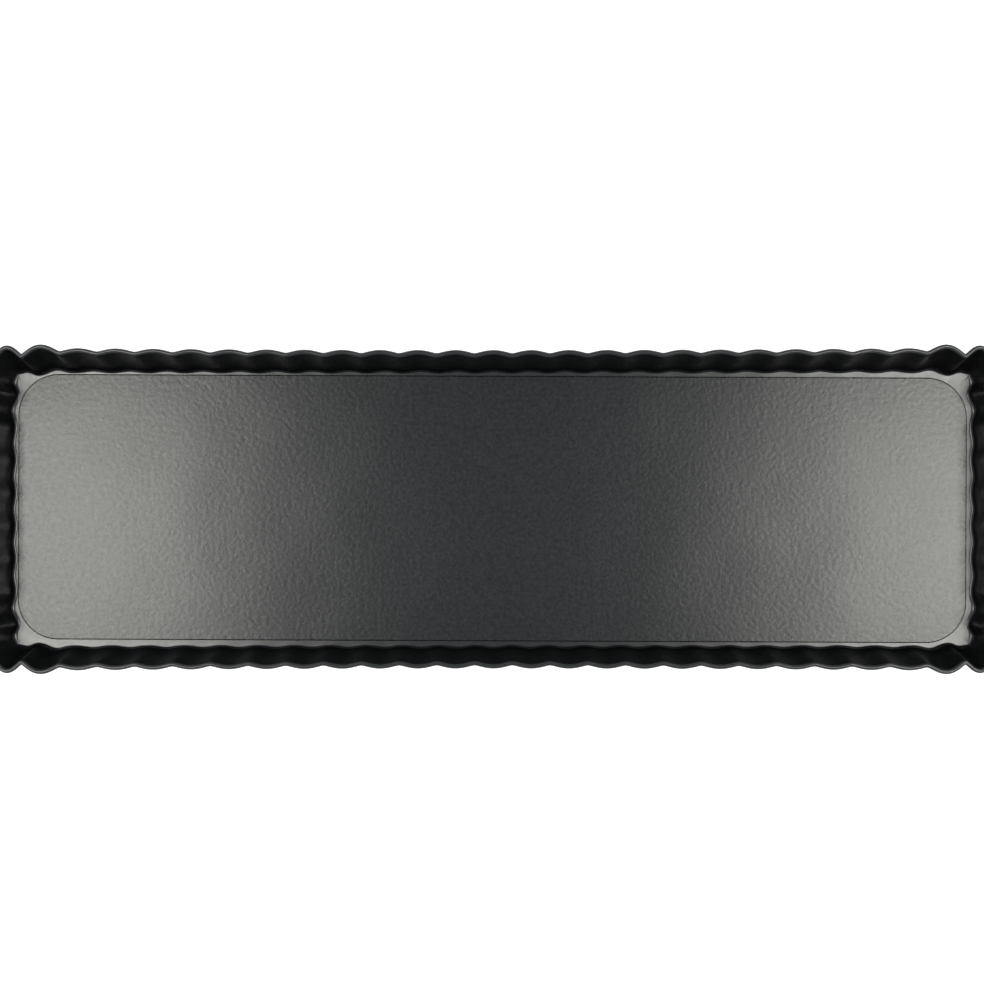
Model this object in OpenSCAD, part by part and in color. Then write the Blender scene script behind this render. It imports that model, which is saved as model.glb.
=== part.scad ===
// Rectangular fluted tart tin with a loose base.
// The ring is one pressed steel sheet: an inturned ledge, a bend, a flared wall
// with upright flutes, and a rim rolled outwards. The base is a flat plate that
// drops in from above, rests on the ledge and lifts out again.
// Origin: the middle of the tin, on the surface it stands on.
// X runs along the tin, Y across it, Z is up.

/* [Ring] */
// Length over the flute crests in the middle of the short sides
ring_length = 350; // [260:5:420]
// Width over the flute crests near the ends of the long sides
ring_width = 110; // [80:1:150]
// Height from the underside of the ledge to the top of the rim
ring_height = 25; // [15:0.5:40]
// Thickness of the ring's sheet
sheet = 0.6; // [0.4:0.1:1]
// Diameter of the rolled rim
rim_bead = 1.6; // [1.2:0.1:3]

/* [Wall] */
// How far the wall leans out between the ledge and the rim, on its inner face
wall_run = 5; // [3.5:0.1:9]
// Inside radius of the bend between the ledge and the wall
bend_radius = 1.5; // [1:0.1:3.2]
// How far the middle of each long side springs in at the rim
rim_bow = 0.8; // [0:0.1:1.5]
// How far the middle of each long side springs in at the foot of the wall
foot_bow = 0.1; // [0:0.1:1]

/* [Flutes] */
// Flutes on a long side, between its corner cusps
long_flutes = 25; // [11:2:29]
// Flutes on a short side, between its corner cusps
short_flutes = 7; // [3:2:9]
// Depth of the regular flutes at the rim
rim_flute = 1.2; // [0.6:0.1:2]
// Depth of the regular flutes at the foot of the wall
foot_flute = 0.6; // [0.3:0.1:1]
// Depth at the rim of the flute at each end of a side
rim_end_flute = 3.1; // [1.2:0.1:3.6]
// Depth at the foot of the flute at each end of a side
foot_end_flute = 1.3; // [0.5:0.1:2]
// Depth at the rim of the two flutes that share a corner
rim_corner_flute = 4; // [1.5:0.1:4.6]
// Depth at the foot of the two flutes that share a corner
foot_corner_flute = 0.5; // [0.3:0.1:1.2]

/* [Corners] */
// From the crest line of a side to the corner cusp of the next side
corner_reach = 14.5; // [12:0.5:20]
// How much deeper a corner cusp lies than the regular cusps, at the rim
rim_corner_dip = 1.4; // [0:0.1:2]
// How much deeper a corner cusp lies than the regular cusps, at the foot
foot_corner_dip = 1; // [0:0.1:2]
// From both crest lines in to the cusp on the corner's diagonal, at the rim
rim_corner_inset = 3.7; // [2:0.1:5]
// From both crest lines in to the cusp on the corner's diagonal, at the foot
foot_corner_inset = 0.8; // [0.5:0.1:3]

/* [Ledge] */
// Width of the ledge, from the crests at the foot of the wall to the opening
ledge_width = 8; // [6:0.5:15]
// Corner radius of the opening
opening_corner = 10; // [4:1:20]

/* [Base] */
// Thickness of the loose base
base_thickness = 0.8; // [0.5:0.1:2]
// Corner radius of the loose base
base_corner = 14.3; // [10:0.1:30]
// Gap from each end of the base to the flutes, when it lies in the middle
base_play_x = 0.6; // [0.5:0.1:2]
// Gap from each long edge of the base to the flutes, when it lies in the middle
base_play_y = 1; // [0.5:0.1:2]
// Share of base_play_y that the base takes up by lying askew
base_askew = 0.7; // [0:0.01:0.7]
// Shares of the play in X and Y that the base takes up by lying off centre
base_shift = [-0.67, 0.27];

/* [Hidden] */
coating = "#2c2e30";
worn_coating = "#3a3c3e";
// Points on each flute, from one cusp to the next
flute_steps = 6;
// Shape of a flute at the rim and at the foot of the wall: 1 gives sharp cusps and
// full crests, 2 gives a plain wave, 3 gives narrow crests between flat stretches
rim_flute_power = 1.2;
foot_flute_power = 3;
// Facets of a round corner
$fn = 64;

// Half length and half width of the crest lines, on the inner face of the wall
rim_half = [ring_length / 2 - rim_bead, ring_width / 2 - rim_bead];
foot_half = rim_half - [wall_run, wall_run];
opening_half = foot_half - [ledge_width, ledge_width];

// Half the distance between the corner cusps of a long side and of a short side
long_reach = ring_length / 2 - corner_reach;
short_reach = ring_width / 2 - corner_reach;

// The wall's lean from upright, and the angle that the bend turns through
wall_lean = atan(wall_run / (ring_height - rim_bead / 2 - sheet));
bend_turn = 90 - wall_lean;

// The base's size, and how it lies in its play
base_length = 2 * (foot_half.x - foot_flute - base_play_x);
base_width = 2 * (foot_half.y - foot_flute - base_play_y);
base_turn = -asin(base_askew * base_play_y / (base_length / 2));
base_place = [base_shift.x * base_play_x, base_shift.y * base_play_y, sheet];

// The cusps of one side as [along, out], from one corner cusp to the other
function side_cusps(count, reach, crest, depth, bow, corner_dip) = [
    for (k = [0 : count])
        let (share = 2 * k / count - 1)
        let (dip = k == 0 || k == count ? corner_dip : 0)
        [reach * share, crest - depth - dip - bow * (1 - share * share)]
];

// A side's [along, out] points turned to face the given way
function facing(side, angle) = [
    for (p = side)
        [p[1] * cos(angle) - p[0] * sin(angle), p[1] * sin(angle) + p[0] * cos(angle)]
];

// All cusps, anticlockwise from the +X side, with one on each corner's diagonal
function ring_cusps(half, depth, inset, bow, dip) =
    let (short_side = side_cusps(short_flutes, short_reach, half.x, depth, 0, dip))
    let (long_side = side_cusps(long_flutes, long_reach, half.y, depth, bow, dip))
    let (corner = half - [inset, inset])
    concat(
        facing(short_side, 0), [corner],
        facing(long_side, 90), [[-corner.x, corner.y]],
        facing(short_side, 180), [-corner],
        facing(long_side, 270), [[corner.x, -corner.y]]
    );

// The depth of each flute on one side and of the two that follow it at the corner
function side_depths(count, depth, end_depth, corner_depth) = [
    for (k = [0 : count + 1])
        k >= count ? corner_depth : k == 0 || k == count - 1 ? end_depth : depth
];

function ring_depths(depth, end_depth, corner_depth) =
    let (short_side = side_depths(short_flutes, depth, end_depth, corner_depth))
    let (long_side = side_depths(long_flutes, depth, end_depth, corner_depth))
    concat(short_side, long_side, short_side, long_side);

// A closed line of flutes that bulge outwards between the cusps
function fluted_line(cusps, depths, power) = [
    for (k = [0 : len(cusps) - 1], s = [0 : flute_steps - 1])
        let (share = s / flute_steps)
        let (run = cusps[(k + 1) % len(cusps)] - cusps[k])
        let (bulge = depths[k] * pow(sin(180 * share), power))
        cusps[k] + share * run + bulge * [run.y, -run.x] / norm(run)
];

// The outward direction at each point of a closed line
function outward(line) = [
    for (i = [0 : len(line) - 1])
        let (run = line[(i + 1) % len(line)] - line[(i + len(line) - 1) % len(line)])
        [run.y, -run.x] / norm(run)
];

// The nearest point to p on a rectangle of the given half size with round corners
function on_rounded_rectangle(p, half, radius) =
    let (core = half - [radius, radius])
    let (c = [min(max(p.x, -core.x), core.x), min(max(p.y, -core.y), core.y)])
    c + radius * (p - c) / norm(p - c);

foot_line = fluted_line(
    ring_cusps(foot_half, foot_flute, foot_corner_inset, foot_bow, foot_corner_dip),
    ring_depths(foot_flute, foot_end_flute, foot_corner_flute),
    foot_flute_power
);
rim_line = fluted_line(
    ring_cusps(rim_half, rim_flute, rim_corner_inset, rim_bow, rim_corner_dip),
    ring_depths(rim_flute, rim_end_flute, rim_corner_flute),
    rim_flute_power
);
rim_out = outward(rim_line);
opening_line = [for (p = foot_line) on_rounded_rectangle(p, opening_half, opening_corner)];

// A ring of points at height z, moved outwards from a line
function level(line, z, out = 0) = [
    for (i = [0 : len(line) - 1])
        let (p = line[i] + out * rim_out[i])
        [p.x, p.y, z]
];

// A ring of points on the bend: skin is 0 on the inner face and sheet on the outer
function bend_level(turn, skin) =
    let (share = bend_radius * sin(turn) / wall_run)
    let (line = [for (i = [0 : len(foot_line) - 1]) foot_line[i] + share * (rim_line[i] - foot_line[i])])
    level(line, sheet + bend_radius * (1 - cos(turn)) - skin * cos(turn), skin * sin(turn));

// The ring's section as rings of points: over the ledge, up the inner face,
// round the rolled rim, down the outer face and back under the ledge
levels = [
    level(opening_line, sheet),
    level(foot_line, sheet),
    bend_level(bend_turn / 2, 0),
    bend_level(bend_turn, 0),
    level(rim_line, ring_height - rim_bead / 2),
    level(rim_line, ring_height, rim_bead / 2),
    level(rim_line, ring_height - rim_bead / 2, rim_bead),
    level(rim_line, ring_height - rim_bead, sheet),
    bend_level(bend_turn, sheet),
    bend_level(bend_turn / 2, sheet),
    level(foot_line, 0),
    level(opening_line, 0)
];

// Joins rings of points, the last one to the first, into a closed solid
module closed_sweep(rings) {
    n = len(rings[0]);
    m = len(rings);
    polyhedron(
        points = [for (ring = rings) each ring],
        faces = [
            for (j = [0 : m - 1], i = [0 : n - 1])
                let (a = j * n + i)
                let (b = j * n + (i + 1) % n)
                let (c = (j + 1) % m * n + (i + 1) % n)
                let (d = (j + 1) % m * n + i)
                each [[a, b, c], [a, c, d]]
        ],
        convexity = 10
    );
}

module rounded_rectangle(length, width, radius) {
    square([length - 2 * radius, width], center = true);
    square([length, width - 2 * radius], center = true);
    for (x = [-1, 1], y = [-1, 1])
        translate([x * (length / 2 - radius), y * (width / 2 - radius)])
            circle(r = radius);
}

// The pressed ring: ledge, bend, fluted wall and rolled rim
module fluted_ring() {
    color(coating)
        closed_sweep(levels);
}

// The loose base, lying a little askew on the ledge
module loose_base() {
    color(worn_coating)
        translate(base_place)
            rotate([0, 0, base_turn])
                linear_extrude(base_thickness)
                    rounded_rectangle(base_length, base_width, base_corner);
}

fluted_ring();
loose_base();
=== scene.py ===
import math

import bmesh
import bpy
from mathutils import Matrix, Vector


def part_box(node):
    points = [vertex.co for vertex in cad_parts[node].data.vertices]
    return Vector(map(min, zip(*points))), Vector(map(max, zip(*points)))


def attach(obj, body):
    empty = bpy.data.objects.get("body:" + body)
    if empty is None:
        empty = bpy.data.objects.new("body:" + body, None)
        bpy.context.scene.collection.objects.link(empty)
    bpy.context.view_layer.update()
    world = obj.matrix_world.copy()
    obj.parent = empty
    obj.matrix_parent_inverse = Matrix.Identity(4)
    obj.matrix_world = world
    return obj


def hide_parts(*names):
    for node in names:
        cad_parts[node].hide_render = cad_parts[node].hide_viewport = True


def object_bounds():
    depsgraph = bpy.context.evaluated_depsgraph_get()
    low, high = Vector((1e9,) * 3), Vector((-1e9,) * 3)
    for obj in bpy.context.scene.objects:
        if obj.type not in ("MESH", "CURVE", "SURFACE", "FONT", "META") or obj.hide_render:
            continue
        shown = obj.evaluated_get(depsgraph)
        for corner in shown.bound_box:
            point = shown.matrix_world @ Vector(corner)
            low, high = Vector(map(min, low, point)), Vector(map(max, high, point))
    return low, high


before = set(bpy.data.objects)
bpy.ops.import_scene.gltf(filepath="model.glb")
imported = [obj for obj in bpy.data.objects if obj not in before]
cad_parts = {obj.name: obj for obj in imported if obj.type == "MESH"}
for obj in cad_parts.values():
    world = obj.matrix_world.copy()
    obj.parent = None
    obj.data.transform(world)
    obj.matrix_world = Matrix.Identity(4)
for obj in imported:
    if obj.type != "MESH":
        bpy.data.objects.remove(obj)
cad_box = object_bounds()


# ---------------------------------------------------------------------------
# Camera: straight above the middle of the tin, looking down, as for a
# catalogue plate. The tin fills the width of the view and runs a little past it.
MM = 0.001
SENSOR = 36.0                # width, in mm
CAMERA_HEIGHT = 640 * MM
VIEW_WIDTH = 347.55 * MM
VIEW_SHIFT = (-0.0015, 0.0176)   # shares of the view's width

camera_data = bpy.data.cameras.new("overhead_camera")
camera_data.sensor_width = SENSOR
camera_data.lens = SENSOR * CAMERA_HEIGHT / VIEW_WIDTH
camera_data.shift_x, camera_data.shift_y = VIEW_SHIFT
camera = bpy.data.objects.new("overhead_camera", camera_data)
camera.location = (0, 0, CAMERA_HEIGHT + cad_box[0].z)
bpy.context.collection.objects.link(camera)
bpy.context.scene.camera = camera


# ---------------------------------------------------------------------------
# Fluted ring: one sheet of carbon steel, pressed into a flared wall of upright
# flutes on an inturned ledge, with its top edge rolled outwards. Here the sheet's
# section is swept round the fluted path, as wide as the two lines it follows.
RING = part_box("fluted_ring")
RING_LENGTH = 350 * MM       # over the regular crests of the short sides
RING_WIDTH = 110 * MM        # over the regular crests of the long sides
RING_HEIGHT = RING[1].z - RING[0].z
SHEET = 0.6 * MM
RIM_BEAD = 1.6 * MM          # diameter of the rolled rim
WALL_RUN = 5.0 * MM          # how far the wall leans out
BEND_RADIUS = 1.5 * MM
LEDGE_WIDTH = 8 * MM
OPENING_CORNER = 10 * MM
CORNER_REACH = 14.5 * MM     # from a side's crest line to the next side's corner cusp
LONG_FLUTES = 25
SHORT_FLUTES = 7
FLUTE_STEPS = 20             # points along each flute
CUSP_ROUNDING = 2            # times that each point is drawn towards its neighbours
# At the rim and at the foot, in mm: the depth of the regular flutes, of a side's end
# flutes and of the two at each corner, how far the cusp on the diagonal lies in from the
# crest lines (inset), and how much further in than the other cusps the corner cusps lie
# (dip) and the middle of a long side (bow). power is the flutes' shape: 1 gives sharp
# cusps, and 3 narrow crests between flats
LINES = {
    "Rim": dict(depth=1.2, end=3.1, corner=4.0, inset=3.7, dip=1.4, bow=0.8, power=1.2),
    "Foot": dict(depth=0.6, end=1.3, corner=0.5, inset=0.8, dip=1.0, bow=0.1, power=3.0),
}

rim_half = Vector((RING_LENGTH / 2 - RIM_BEAD, RING_WIDTH / 2 - RIM_BEAD, 0))
foot_half = rim_half - Vector((WALL_RUN, WALL_RUN, 0))
opening_half = foot_half - Vector((LEDGE_WIDTH, LEDGE_WIDTH, 0))
bend_turn = math.pi / 2 - math.atan(WALL_RUN / (RING_HEIGHT - RIM_BEAD / 2 - SHEET))

MATH, VECTOR_MATH = "ShaderNodeMath", "ShaderNodeVectorMath"
SWITCH = "GeometryNodeSwitch"
NOISE, RANGE = "ShaderNodeTexNoise", "ShaderNodeMapRange"


def add(tree, kind, inputs=None, **settings):
    """Adds a node with its settings. inputs maps a socket's name or number to a
    value, a socket, or a node whose first output is meant."""
    node = tree.nodes.new(kind)
    for name, value in settings.items():
        setattr(node, name, value)
    for key, value in (inputs or {}).items():
        if isinstance(value, bpy.types.Node):
            value = value.outputs[0]
        if isinstance(value, bpy.types.NodeSocket):
            tree.links.new(value, node.inputs[key])
        else:
            node.inputs[key].default_value = value
    return node


def new_tree(name, inputs, outputs):
    """A Geometry Nodes tree with the named inputs and outputs, given as
    name: socket type, and the sockets of its two end nodes."""
    tree = bpy.data.node_groups.new(name, "GeometryNodeTree")
    for side, sockets in (("INPUT", inputs), ("OUTPUT", outputs)):
        for label, kind in sockets.items():
            tree.interface.new_socket(label, in_out=side, socket_type="NodeSocket" + kind)
    return tree, tree.nodes.new("NodeGroupInput").outputs, tree.nodes.new("NodeGroupOutput").inputs


def cusp_tree():
    """One cusp as (along, out) in its side's own frame. Number 0 is the cusp on
    the corner's diagonal, 1 the side's corner cusp, and the rest follow."""
    tree, given, result = new_tree(
        "ring_cusp",
        {
            "Number": "Float", "Half Size": "Vector", "Reach": "Float", "Flutes": "Float",
            "Depth": "Float", "Dip": "Float", "Inset": "Float", "Bow": "Float",
        },
        {"Cusp": "Vector"},
    )
    reach = given["Reach"]
    pitch = add(tree, MATH, {0: reach, 1: given["Flutes"]}, operation="DIVIDE")
    pitch = add(tree, MATH, {0: pitch, 1: 2.0}, operation="MULTIPLY")
    past = add(tree, MATH, {0: given["Number"], 1: 1.0}, operation="SUBTRACT")
    past = add(tree, MATH, {0: past, 1: pitch}, operation="MULTIPLY")
    along = add(tree, MATH, {0: reach, 1: past}, operation="SUBTRACT")
    share = add(tree, MATH, {0: along, 1: reach}, operation="DIVIDE")
    share = add(tree, MATH, {0: share, 1: share}, operation="MULTIPLY")
    share = add(tree, MATH, {0: 1.0, 1: share}, operation="SUBTRACT")
    bow = add(tree, MATH, {0: share, 1: given["Bow"]}, operation="MULTIPLY")
    at_corner = add(tree, MATH, {0: given["Number"], 1: 1.5}, operation="LESS_THAN")
    dip = add(tree, MATH, {0: at_corner, 1: given["Dip"]}, operation="MULTIPLY")
    size = add(tree, "ShaderNodeSeparateXYZ", {0: given["Half Size"]})
    out = add(tree, MATH, {0: size.outputs["Y"], 1: given["Depth"]}, operation="SUBTRACT")
    out = add(tree, MATH, {0: out, 1: bow}, operation="SUBTRACT")
    out = add(tree, MATH, {0: out, 1: dip}, operation="SUBTRACT")
    on_side = add(tree, "ShaderNodeCombineXYZ", {"X": along, "Y": out})
    inset = add(tree, "ShaderNodeCombineXYZ", {"X": given["Inset"], "Y": given["Inset"]})
    corner = add(tree, VECTOR_MATH, {0: given["Half Size"], 1: inset}, operation="SUBTRACT")
    diagonal = add(tree, MATH, {0: given["Number"], 1: 0.5}, operation="LESS_THAN")
    cusp = add(
        tree, SWITCH,
        {"Switch": diagonal, "False": on_side, "True": corner}, input_type="VECTOR",
    )
    tree.links.new(cusp.outputs[0], result["Cusp"])
    return tree


def line_tree(cusp):
    """A point of a fluted line: the chord between two cusps, bulged outwards."""
    tree, given, result = new_tree(
        "fluted_line",
        {
            "Flute": "Float", "Share": "Float", "Half Size": "Vector", "Reach": "Float",
            "Flutes": "Float", "Depth": "Float", "End Depth": "Float", "Corner Depth": "Float",
            "Dip": "Float", "Inset": "Float", "Bow": "Float", "Power": "Float",
        },
        {"Point": "Vector"},
    )
    shared = ("Half Size", "Reach", "Flutes", "Depth", "Dip", "Inset", "Bow")
    common = {name: given[name] for name in shared}
    following = add(tree, MATH, {0: given["Flute"], 1: 1.0}, operation="ADD")
    start = add(tree, "GeometryNodeGroup", node_tree=cusp)
    end = add(tree, "GeometryNodeGroup", node_tree=cusp)
    for node, number in ((start, given["Flute"]), (end, following.outputs[0])):
        for name, socket in (common | {"Number": number}).items():
            tree.links.new(socket, node.inputs[name])
    run = add(tree, VECTOR_MATH, {0: end, 1: start}, operation="SUBTRACT")
    normal = add(tree, VECTOR_MATH, {0: run, 1: (0, 0, 1)}, operation="CROSS_PRODUCT")
    normal = add(tree, VECTOR_MATH, {0: normal}, operation="NORMALIZE")
    at_corner = add(tree, MATH, {0: given["Flute"], 1: 0.5}, operation="LESS_THAN")
    at_end = add(tree, MATH, {0: given["Flute"], 1: 1.5}, operation="LESS_THAN")
    depth = add(
        tree, SWITCH,
        {"Switch": at_end, "False": given["Depth"], "True": given["End Depth"]},
        input_type="FLOAT",
    )
    depth = add(
        tree, SWITCH,
        {"Switch": at_corner, "False": depth, "True": given["Corner Depth"]},
        input_type="FLOAT",
    )
    arch = add(tree, MATH, {0: given["Share"], 1: math.pi}, operation="MULTIPLY")
    arch = add(tree, MATH, {0: arch}, operation="SINE")
    arch = add(tree, MATH, {0: arch, 1: 0.0}, operation="MAXIMUM")
    arch = add(tree, MATH, {0: arch, 1: given["Power"]}, operation="POWER")
    bulge = add(tree, MATH, {0: arch, 1: depth}, operation="MULTIPLY")
    bulge = add(tree, VECTOR_MATH, {0: normal, "Scale": bulge}, operation="SCALE")
    chord = add(tree, VECTOR_MATH, {0: run, "Scale": given["Share"]}, operation="SCALE")
    point = add(tree, VECTOR_MATH, {0: start, 1: chord}, operation="ADD")
    point = add(tree, VECTOR_MATH, {0: point, 1: bulge}, operation="ADD")
    tree.links.new(point.outputs[0], result["Point"])
    return tree


def ring_tree(line):
    """Sweeps the section that it is given round the fluted path. In the section, X
    is the distance out from the foot of the wall, Y how far outside the sheet's
    inner face a point lies, and Z its height."""
    inputs = {
        "Geometry": "Geometry", "Material": "Material", "Long Flutes": "Float",
        "Short Flutes": "Float", "Steps": "Int", "Long Reach": "Float", "Short Reach": "Float",
        "Wall Run": "Float", "Ledge Width": "Float", "Opening Half Size": "Vector",
        "Opening Corner": "Float", "Cusp Rounding": "Int",
    }
    for place in LINES:
        inputs |= {
            place + " Half Size": "Vector", place + " Depth": "Float",
            place + " End Depth": "Float", place + " Corner Depth": "Float",
            place + " Dip": "Float", place + " Inset": "Float",
            place + " Bow": "Float", place + " Power": "Float",
        }
    tree, given, result = new_tree("fluted_ring", inputs, {"Geometry": "Geometry"})

    # Flutes in a quarter of the ring: half of each side and one at the corner
    both = add(tree, MATH, {0: given["Long Flutes"], 1: given["Short Flutes"]}, operation="ADD")
    quarter = add(tree, MATH, {0: both, 1: 0.5, 2: 2.0}, operation="MULTIPLY_ADD")
    count = add(tree, MATH, {0: quarter, 1: 4.0}, operation="MULTIPLY")
    points = add(tree, MATH, {0: count, 1: given["Steps"]}, operation="MULTIPLY")
    path = add(tree, "GeometryNodeCurvePrimitiveCircle", {"Resolution": points})

    # Where each point of the path lies, counted in flutes from the corner
    number = add(tree, "GeometryNodeInputIndex")
    walked = add(tree, MATH, {0: number, 1: given["Steps"]}, operation="DIVIDE")
    folded = add(tree, MATH, {0: walked, 1: quarter}, operation="PINGPONG")
    half_short = add(tree, MATH, {0: given["Short Flutes"], 1: 0.5, 2: 1.0}, operation="MULTIPLY_ADD")
    from_corner = add(tree, MATH, {0: folded, 1: half_short}, operation="SUBTRACT")
    on_short = add(tree, MATH, {0: from_corner, 1: 0.0}, operation="LESS_THAN")
    from_corner = add(tree, MATH, {0: from_corner}, operation="ABSOLUTE")
    flute = add(tree, MATH, {0: from_corner, 1: 0.0001}, operation="ADD")
    flute = add(tree, MATH, {0: flute}, operation="FLOOR")
    share = add(tree, MATH, {0: from_corner, 1: flute}, operation="SUBTRACT")
    share = add(tree, MATH, {0: share, 1: 0.0}, operation="MAXIMUM")

    # Which quarter it lies in, as a sign on each axis
    angle = add(tree, MATH, {0: walked, 1: count}, operation="DIVIDE")
    angle = add(tree, MATH, {0: angle, 1: 2 * math.pi}, operation="MULTIPLY")
    signs = []
    for operation in ("COSINE", "SINE"):
        sign = add(tree, MATH, {0: angle}, operation=operation)
        signs.append(add(tree, MATH, {0: sign}, operation="SIGN"))
    signs = add(tree, "ShaderNodeCombineXYZ", {"X": signs[0], "Y": signs[1], "Z": 1.0})

    flutes = add(
        tree, SWITCH,
        {"Switch": on_short, "False": given["Long Flutes"], "True": given["Short Flutes"]},
        input_type="FLOAT",
    )
    reach = add(
        tree, SWITCH,
        {"Switch": on_short, "False": given["Long Reach"], "True": given["Short Reach"]},
        input_type="FLOAT",
    )
    plans = {}
    for place in LINES:
        size = add(tree, "ShaderNodeSeparateXYZ", {0: given[place + " Half Size"]})
        turned = add(tree, "ShaderNodeCombineXYZ", {"X": size.outputs["Y"], "Y": size.outputs["X"]})
        size = add(
            tree, SWITCH,
            {"Switch": on_short, "False": given[place + " Half Size"], "True": turned},
            input_type="VECTOR",
        )
        bow = add(
            tree, SWITCH,
            {"Switch": on_short, "False": given[place + " Bow"], "True": 0.0}, input_type="FLOAT",
        )
        point = add(tree, "GeometryNodeGroup", node_tree=line)
        facts = {
            "Flute": flute, "Share": share, "Half Size": size, "Reach": reach, "Flutes": flutes,
            "Depth": given[place + " Depth"], "End Depth": given[place + " End Depth"],
            "Corner Depth": given[place + " Corner Depth"], "Dip": given[place + " Dip"],
            "Inset": given[place + " Inset"], "Bow": bow, "Power": given[place + " Power"],
        }
        for name, value in facts.items():
            socket = value.outputs[0] if isinstance(value, bpy.types.Node) else value
            tree.links.new(socket, point.inputs[name])
        local = add(tree, "ShaderNodeSeparateXYZ", {0: point})
        turned = add(tree, "ShaderNodeCombineXYZ", {"X": local.outputs["Y"], "Y": local.outputs["X"]})
        plan = add(
            tree, SWITCH,
            {"Switch": on_short, "False": point, "True": turned}, input_type="VECTOR",
        )
        plan = add(tree, VECTOR_MATH, {0: plan, 1: signs}, operation="MULTIPLY")
        # The tool's edge rounds each cusp a little
        plans[place] = add(
            tree, "GeometryNodeBlurAttribute",
            {"Value": plan, "Iterations": given["Cusp Rounding"]}, data_type="FLOAT_VECTOR",
        )

    # The opening's line: the nearest points on a rectangle with round corners
    radius = given["Opening Corner"]
    radii = add(tree, "ShaderNodeCombineXYZ", {"X": radius, "Y": radius})
    core = add(tree, VECTOR_MATH, {0: given["Opening Half Size"], 1: radii}, operation="SUBTRACT")
    low = add(tree, VECTOR_MATH, {0: core, "Scale": -1.0}, operation="SCALE")
    held = add(tree, VECTOR_MATH, {0: plans["Foot"], 1: low}, operation="MAXIMUM")
    held = add(tree, VECTOR_MATH, {0: held, 1: core}, operation="MINIMUM")
    away = add(tree, VECTOR_MATH, {0: plans["Foot"], 1: held}, operation="SUBTRACT")
    away = add(tree, VECTOR_MATH, {0: away}, operation="NORMALIZE")
    away = add(tree, VECTOR_MATH, {0: away, "Scale": radius}, operation="SCALE")
    opening = add(tree, VECTOR_MATH, {0: held, 1: away}, operation="ADD")

    # Keep the three lines and the outward direction on the path's points
    path = add(tree, "GeometryNodeSetPosition", {"Geometry": path, "Position": plans["Rim"]})
    tangent = add(tree, "GeometryNodeInputTangent")
    outward = add(tree, VECTOR_MATH, {0: tangent, 1: (0, 0, 1)}, operation="CROSS_PRODUCT")
    kept = {"foot": plans["Foot"], "rim": plans["Rim"], "opening": opening, "outward": outward}
    for name, value in kept.items():
        path = add(
            tree, "GeometryNodeStoreNamedAttribute",
            {"Geometry": path, "Name": name, "Value": value},
            data_type="FLOAT_VECTOR", domain="POINT",
        )
    section = add(tree, "GeometryNodeMeshToCurve", {"Mesh": given["Geometry"]})
    section = add(
        tree, "GeometryNodeStoreNamedAttribute",
        {"Geometry": section, "Name": "section", "Value": add(tree, "GeometryNodeInputPosition")},
        data_type="FLOAT_VECTOR", domain="POINT",
    )
    sweep = add(tree, "GeometryNodeCurveToMesh", {"Curve": path, "Profile Curve": section})

    # Place every point of the swept section
    lines = {
        name: add(tree, "GeometryNodeInputNamedAttribute", {"Name": name}, data_type="FLOAT_VECTOR")
        for name in (*kept, "section")
    }
    place = add(tree, "ShaderNodeSeparateXYZ", {0: lines["section"]})
    up_wall = add(
        tree, MATH, {0: place.outputs["X"], 1: given["Wall Run"]},
        operation="DIVIDE", use_clamp=True,
    )
    on_ledge = add(tree, MATH, {0: place.outputs["X"], 1: given["Ledge Width"]}, operation="DIVIDE")
    on_ledge = add(tree, MATH, {0: on_ledge, 1: -1.0}, operation="MULTIPLY", use_clamp=True)
    plan = add(
        tree, "ShaderNodeMix", {0: up_wall, 4: lines["foot"], 5: lines["rim"]}, data_type="VECTOR",
    )
    inner = add(
        tree, "ShaderNodeMix", {0: on_ledge, 4: plan.outputs[1], 5: lines["opening"]},
        data_type="VECTOR",
    )
    skin = add(tree, VECTOR_MATH, {0: lines["outward"], "Scale": place.outputs["Y"]}, operation="SCALE")
    rise = add(tree, "ShaderNodeCombineXYZ", {"Z": place.outputs["Z"]})
    final = add(tree, VECTOR_MATH, {0: inner.outputs[1], 1: skin}, operation="ADD")
    final = add(tree, VECTOR_MATH, {0: final, 1: rise}, operation="ADD")
    placed = add(tree, "GeometryNodeSetPosition", {"Geometry": sweep, "Position": final})
    smooth = add(tree, "GeometryNodeSetShadeSmooth", {"Geometry": placed})
    real = add(tree, "GeometryNodeRealizeInstances", {"Geometry": smooth})
    done = add(tree, "GeometryNodeSetMaterial", {"Geometry": real, "Material": given["Material"]})
    tree.links.new(done.outputs[0], result["Geometry"])
    return tree


EDGE_STEPS = 6               # round the cut edge of the opening
BEND_STEPS = 8
WALL_ROWS = 6                # equal heights between the bend and the rim
BEAD_STEPS = 12
BEAD_START = -100            # degrees, where the bead meets the outside of the wall
LEDGE_ROWS = (0.33, 0.66)    # shares of the ledge's width, from the bend inwards


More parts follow.
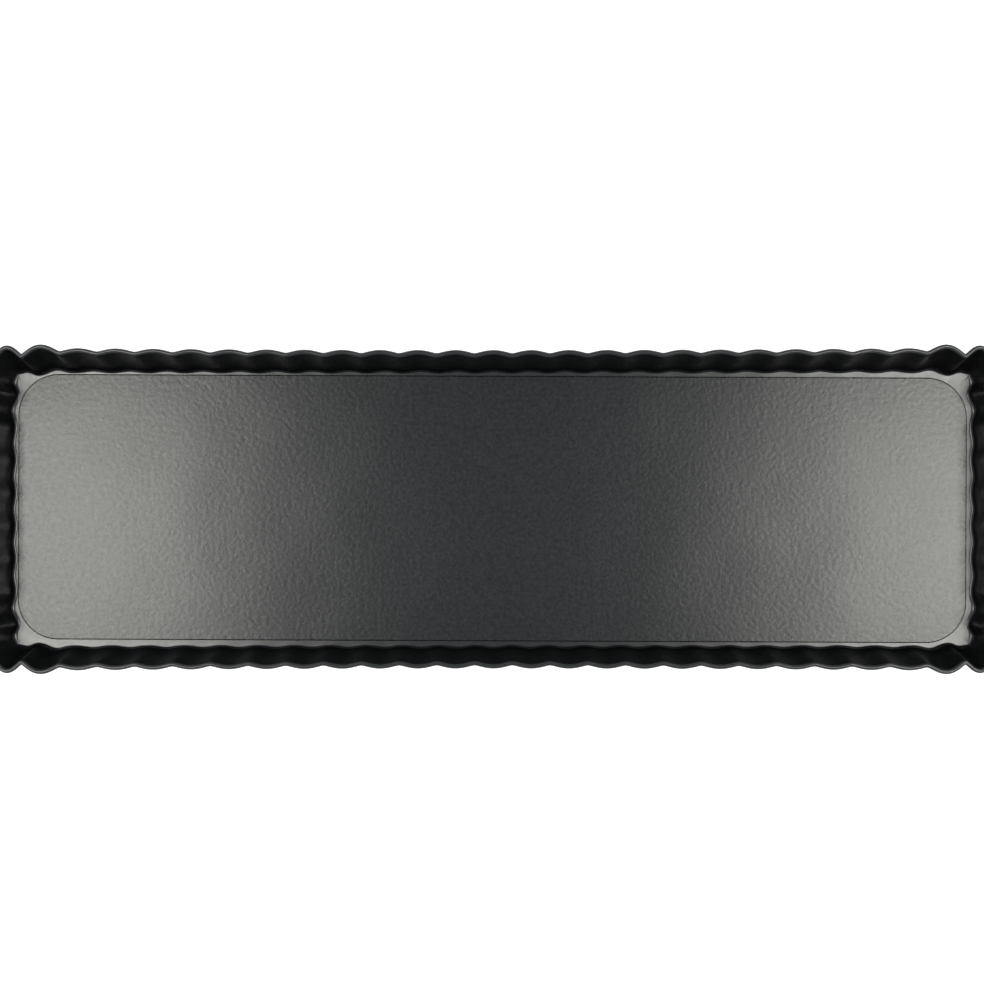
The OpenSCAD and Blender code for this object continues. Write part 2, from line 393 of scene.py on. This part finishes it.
def ring_section():
    """The sheet's outline, anticlockwise from the upper edge of the opening, as (out,
    skin, height): round that edge, under the ledge, up the outside, round the rim,
    down the inside and back along the ledge."""
    edge = SHEET / 2
    bead = RIM_BEAD / 2
    bead_height = RING_HEIGHT - bead
    outline = []
    for k in range(EDGE_STEPS + 1):
        angle = math.radians(90 + 180 * k / EDGE_STEPS)
        out = -LEDGE_WIDTH + edge + edge * math.cos(angle)
        outline.append((out, 0, edge + edge * math.sin(angle)))
    outline += [(-LEDGE_WIDTH * share, 0, 0) for share in reversed(LEDGE_ROWS)]
    turns = [bend_turn * k / BEND_STEPS for k in range(BEND_STEPS + 1)]
    bend = [(BEND_RADIUS * math.sin(t), SHEET + BEND_RADIUS * (1 - math.cos(t))) for t in turns]
    foot_out, foot_height = bend[-1]
    wall = [
        (foot_out + (WALL_RUN - foot_out) * row / WALL_ROWS,
         foot_height + (bead_height - foot_height) * row / WALL_ROWS)
        for row in range(1, WALL_ROWS)
    ]
    drop, push = SHEET * math.cos(bend_turn), SHEET * math.sin(bend_turn)
    for (out, height), turn in zip(bend, turns):
        outline.append((out, SHEET * math.sin(turn), height - SHEET * math.cos(turn)))
    outline += [(out, push, height - drop) for out, height in wall]
    for k in range(BEAD_STEPS + 1):
        angle = math.radians(BEAD_START + (180 - BEAD_START) * k / BEAD_STEPS)
        skin = bead + bead * math.cos(angle)
        outline.append((WALL_RUN, skin, bead_height + bead * math.sin(angle)))
    outline += [(out, 0, height) for out, height in reversed(wall)]
    outline += [(out, 0, height) for out, height in reversed(bend)]
    outline += [(-LEDGE_WIDTH * share, 0, SHEET) for share in LEDGE_ROWS]
    return outline


def linear(code):
    """A hex sRGB colour as linear RGBA."""
    parts = [int(code[i : i + 2], 16) / 255 for i in (1, 3, 5)]
    return [p / 12.92 if p <= 0.04045 else ((p + 0.055) / 1.055) ** 2.4 for p in parts] + [1.0]


PEBBLES = 1.5 * MM           # from bump to bump of the sprayed coat
SPECKS = 1.1 * MM            # from speck to speck of the lighter grey
WAVES = 45 * MM              # from wave to wave of the pressed sheet
WAVE_RELIEF = 0.3 * MM
UNEVENNESS = 0.015           # of the coat's roughness, either way
# Painted highlight: a lighter grey mixed into the ring's colour along the rolled rim
RIM_HIGHLIGHT_GREY = "#303132"
RIM_HIGHLIGHT_FADE = 0.6 * MM          # height over which the painted rim highlight fades in


def nonstick_coating(name, colour, fleck, roughness, ior, relief, highlight_above=None):
    """A sprayed and baked PTFE non-stick coating on steel sheet: nearly black, with
    a semi-gloss skin that mirrors large lights softly. The spray leaves a fine pebbled
    relief and faint specks of a lighter grey, and the sheet under it is a little wavy.
    Above the given height the colour turns a lighter grey, a painted highlight along the rolled rim."""
    material = bpy.data.materials.new(name)
    material.use_nodes = True
    tree = material.node_tree
    tree.nodes.clear()
    place = add(tree, "ShaderNodeTexCoord").outputs["Object"]
    pebbles = add(tree, NOISE, {"Vector": place, "Scale": 1 / PEBBLES, "Detail": 2.0})
    waves = add(tree, NOISE, {"Vector": place, "Scale": 1 / WAVES, "Detail": 1.0})
    bumpy = add(tree, "ShaderNodeBump", {"Height": pebbles, "Strength": 1.0, "Distance": relief})
    wavy = add(
        tree, "ShaderNodeBump", {"Height": waves, "Distance": WAVE_RELIEF, "Normal": bumpy},
    )
    specks = add(tree, NOISE, {"Vector": place, "Scale": 1 / SPECKS, "Detail": 3.0})
    specks = add(tree, RANGE, {"Value": specks, "From Min": 0.3, "From Max": 0.75})
    rough = add(
        tree, RANGE,
        {
            "Value": pebbles, "From Min": 0.3, "From Max": 0.7,
            "To Min": roughness - UNEVENNESS, "To Max": roughness + UNEVENNESS,
        },
    )
    shade = add(
        tree, "ShaderNodeMix", {0: specks, 6: linear(colour), 7: linear(fleck)},
        data_type="RGBA",
    )
    # Painted highlight: the colour turns lighter grey above the given height, over the rolled rim
    if highlight_above is not None:
        height = add(tree, "ShaderNodeSeparateXYZ", {0: place}).outputs["Z"]
        painted_highlight_mask = add(
            tree, RANGE,
            {"Value": height, "From Min": highlight_above, "From Max": highlight_above + RIM_HIGHLIGHT_FADE},
        )
        shade = add(
            tree, "ShaderNodeMix", {0: painted_highlight_mask, 6: shade.outputs[2], 7: linear(RIM_HIGHLIGHT_GREY)},
            data_type="RGBA",
        )
    surface = add(
        tree, "ShaderNodeBsdfPrincipled",
        {"Base Color": shade.outputs[2], "Roughness": rough, "Normal": wavy, "IOR": ior},
    )
    output = add(tree, "ShaderNodeOutputMaterial")
    tree.links.new(surface.outputs[0], output.inputs[0])
    return material


# The ring's colour carries a painted highlight along the rolled rim
ring_coating = nonstick_coating(
    "ring_nonstick_coating", "#060707", "#0e0f0f", roughness=0.25, ior=1.6,
    relief=0.006 * MM, highlight_above=RING_HEIGHT - RIM_BEAD,
)

section_mesh = bpy.data.meshes.new("ring_section")
outline = ring_section()
section_mesh.from_pydata(
    [Vector(p) for p in outline],
    [(k, (k + 1) % len(outline)) for k in range(len(outline))], [],
)
section_object = bpy.data.objects.new("ring_section", section_mesh)
bpy.context.collection.objects.link(section_object)
sizes = {
    "Material": ring_coating, "Long Flutes": float(LONG_FLUTES),
    "Short Flutes": float(SHORT_FLUTES), "Steps": FLUTE_STEPS,
    "Long Reach": RING_LENGTH / 2 - CORNER_REACH, "Short Reach": RING_WIDTH / 2 - CORNER_REACH,
    "Wall Run": WALL_RUN, "Ledge Width": LEDGE_WIDTH, "Opening Half Size": opening_half,
    "Opening Corner": OPENING_CORNER, "Cusp Rounding": CUSP_ROUNDING,
    "Rim Half Size": rim_half, "Foot Half Size": foot_half,
}
for place, line in LINES.items():
    sizes |= {
        place + " Power": line["power"], place + " Dip": line["dip"] * MM,
        place + " Depth": line["depth"] * MM,
        place + " End Depth": line["end"] * MM, place + " Corner Depth": line["corner"] * MM,
        place + " Inset": line["inset"] * MM, place + " Bow": line["bow"] * MM,
    }
sweep = section_object.modifiers.new("sweep", "NODES")
sweep.node_group = ring_tree(line_tree(cusp_tree()))
for socket in sweep.node_group.interface.items_tree:
    if socket.in_out == "INPUT" and socket.name in sizes:
        sweep[socket.identifier] = sizes[socket.name]
depsgraph = bpy.context.evaluated_depsgraph_get()
ring_mesh = bpy.data.meshes.new_from_object(section_object.evaluated_get(depsgraph))
ring_mesh.name = "pressed_ring"
for name in [a.name for a in ring_mesh.attributes]:
    if name in ("foot", "rim", "opening", "outward", "section"):
        ring_mesh.attributes.remove(ring_mesh.attributes[name])
bpy.data.objects.remove(section_object)
ring = bpy.data.objects.new("pressed_ring", ring_mesh)
bpy.context.collection.objects.link(ring)
shell = bmesh.new()
shell.from_mesh(ring_mesh)
bmesh.ops.recalc_face_normals(shell, faces=shell.faces)
shell.to_mesh(ring_mesh)
shell.free()
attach(ring, "ring")
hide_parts("fluted_ring")


# ---------------------------------------------------------------------------
# Loose base: a flat blank of the same coated sheet with round corners, cut to
# drop in with a little play. It lies on the ledge, slightly askew, held by nothing.
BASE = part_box("loose_base")
BASE_CORNER = 14.3 * MM
BASE_PLAY = Vector((0.6 * MM, 1.0 * MM))   # clearance to the feet of the cusps, each way
BASE_ASKEW = 0.7             # share of the play across that it takes up by its turn

foot_flute = LINES["Foot"]["depth"] * MM
base_half = foot_half.xy - Vector((foot_flute, foot_flute)) - BASE_PLAY
base_turn = -math.asin(BASE_ASKEW * BASE_PLAY.y / base_half.x)
base_middle = (BASE[0] + BASE[1]) / 2


def rounded_outline(half, radius, steps=24):
    """Points round a rectangle with round corners, anticlockwise."""
    points = []
    for k, (x, y) in enumerate(((1, 1), (-1, 1), (-1, -1), (1, -1))):
        centre = Vector((x * (half.x - radius), y * (half.y - radius)))
        for step in range(steps + 1):
            angle = math.radians(90 * k + 90 * step / steps)
            points.append(centre + radius * Vector((math.cos(angle), math.sin(angle))))
    return points


# The coating rounds the cut edge over its whole thickness, in steps of 30 degrees
blank = bmesh.new()
edge_radius = (BASE[1].z - BASE[0].z) / 2
loops = []
for turn in range(-90, 91, 30):
    inset = edge_radius * (1 - math.cos(math.radians(turn)))
    height = edge_radius * (1 + math.sin(math.radians(turn)))
    line = rounded_outline(base_half - Vector((inset, inset)), BASE_CORNER - inset)
    loops.append([blank.verts.new((p.x, p.y, height)) for p in line])
for lower, upper in zip(loops, loops[1:]):
    for k in range(len(lower)):
        after = (k + 1) % len(lower)
        blank.faces.new((lower[k], lower[after], upper[after], upper[k])).smooth = True
blank.faces.new(list(reversed(loops[0])))
blank.faces.new(loops[-1])
seat = Matrix.Translation((base_middle.x, base_middle.y, BASE[0].z))
bmesh.ops.transform(blank, verts=blank.verts, matrix=seat @ Matrix.Rotation(base_turn, 4, "Z"))
base_mesh = bpy.data.meshes.new("base_plate")
blank.to_mesh(base_mesh)
blank.free()
base = bpy.data.objects.new("base_plate", base_mesh)
bpy.context.collection.objects.link(base)
base_coating = nonstick_coating(
    "base_nonstick_coating", "#050606", "#28292b", roughness=0.25, ior=1.5,
    relief=0.04 * MM,
)
base_mesh.materials.append(base_coating)
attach(base, "base")
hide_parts("loose_base")


# ---------------------------------------------------------------------------
# Studio: a matt white card under the tin, and two softboxes that hang face down
# past its two ends, so that each end of the dark base mirrors one of them.
FLOOR_HALF = 3.0             # in metres, as are the softboxes' sizes
FLOOR_LEVEL = cad_box[0].z - 0.02 * MM
CARD = {
    "Base Color": linear("#f2f2f0"), "Roughness": 0.9, "Specular IOR Level": 0.2,
    "Emission Color": linear("#ffffff"), "Emission Strength": 0.75,
}
floor_mesh = bpy.data.meshes.new("studio_floor")
floor_corners = ((-1, -1), (1, -1), (1, 1), (-1, 1))
floor_mesh.from_pydata(
    [(x * FLOOR_HALF, y * FLOOR_HALF, FLOOR_LEVEL) for x, y in floor_corners], [], [(0, 1, 2, 3)],
)
floor = bpy.data.objects.new("studio_floor", floor_mesh)
bpy.context.collection.objects.link(floor)
card = bpy.data.materials.new("white_card")
card.use_nodes = True
for name, value in CARD.items():
    card.node_tree.nodes["Principled BSDF"].inputs[name].default_value = value
floor_mesh.materials.append(card)

SOFTBOX_EDGES = {"left_softbox": (-0.305, -0.60), "right_softbox": (0.34, 0.70)}   # along X
SOFTBOX_LENGTH = 0.40        # along Y
SOFTBOX_HEIGHT = 1.2
SOFTBOX_SHIFT = -0.03        # towards the front
SOFTBOX_RADIANCE = 12.4
SOFTBOX_COLOUR = "#fffff7"
for name, (near, far) in SOFTBOX_EDGES.items():
    light = bpy.data.lights.new(name, "AREA")
    light.shape = "RECTANGLE"
    light.size, light.size_y = abs(far - near), SOFTBOX_LENGTH
    light.energy = SOFTBOX_RADIANCE * math.pi * light.size * light.size_y
    light.color = linear(SOFTBOX_COLOUR)[:3]
    lamp = bpy.data.objects.new(name, light)
    lamp.location = ((near + far) / 2, SOFTBOX_SHIFT, SOFTBOX_HEIGHT)
    bpy.context.collection.objects.link(lamp)

# The room round the tin is white at the horizon, grey overhead and over both ends, and
# dark over the long sides. Half way up at the four corners, off both axes, hang fill cards
HORIZON, OVERHEAD, OVER_SIDES, FILL_CARDS = 1.0, 0.37, 0.08, 0.7   # strengths
HORIZON_EDGE = (0.12, 0.36)  # share of Z over which the horizon gives way to the rest
SIDES_EDGE = (0.12, 0.35)    # share of Y over which the dark sides begin
FILL_EDGE = (0.12, 0.28)     # share of X times share of Y over which the cards begin
ROOM_COLOUR = "#e2ecff"
world = bpy.data.worlds.new("studio")
bpy.context.scene.world = world
world.use_nodes = True
room = world.node_tree
room.nodes.clear()
towards = add(room, "ShaderNodeSeparateXYZ", {0: add(room, "ShaderNodeTexCoord").outputs["Generated"]})
sides = add(room, MATH, {0: towards.outputs["Y"]}, operation="ABSOLUTE")
sides = add(
    room, RANGE,
    {
        "Value": sides, "From Min": SIDES_EDGE[0], "From Max": SIDES_EDGE[1],
        "To Min": OVERHEAD, "To Max": OVER_SIDES,
    },
)
raised = add(
    room, RANGE,
    {"Value": towards.outputs["Z"], "From Min": HORIZON_EDGE[0], "From Max": HORIZON_EDGE[1]},
)
strength = add(room, RANGE, {"Value": raised, "To Min": HORIZON, "To Max": sides})
fill = add(room, MATH, {0: towards.outputs["X"], 1: towards.outputs["Y"]}, operation="MULTIPLY")
fill = add(room, MATH, {0: fill}, operation="ABSOLUTE")
fill = add(
    room, RANGE,
    {"Value": fill, "From Min": FILL_EDGE[0], "From Max": FILL_EDGE[1], "To Max": FILL_CARDS},
)
strength = add(room, MATH, {0: strength, 1: fill}, operation="MAXIMUM")
tint = add(
    room, "ShaderNodeMix", {0: raised, 6: linear("#ffffff"), 7: linear(ROOM_COLOUR)},
    data_type="RGBA",
)
glow = add(room, "ShaderNodeBackground", {"Color": tint.outputs[2], "Strength": strength})
add(room, "ShaderNodeOutputWorld", {0: glow})
bpy.context.scene.view_settings.view_transform = "Standard"
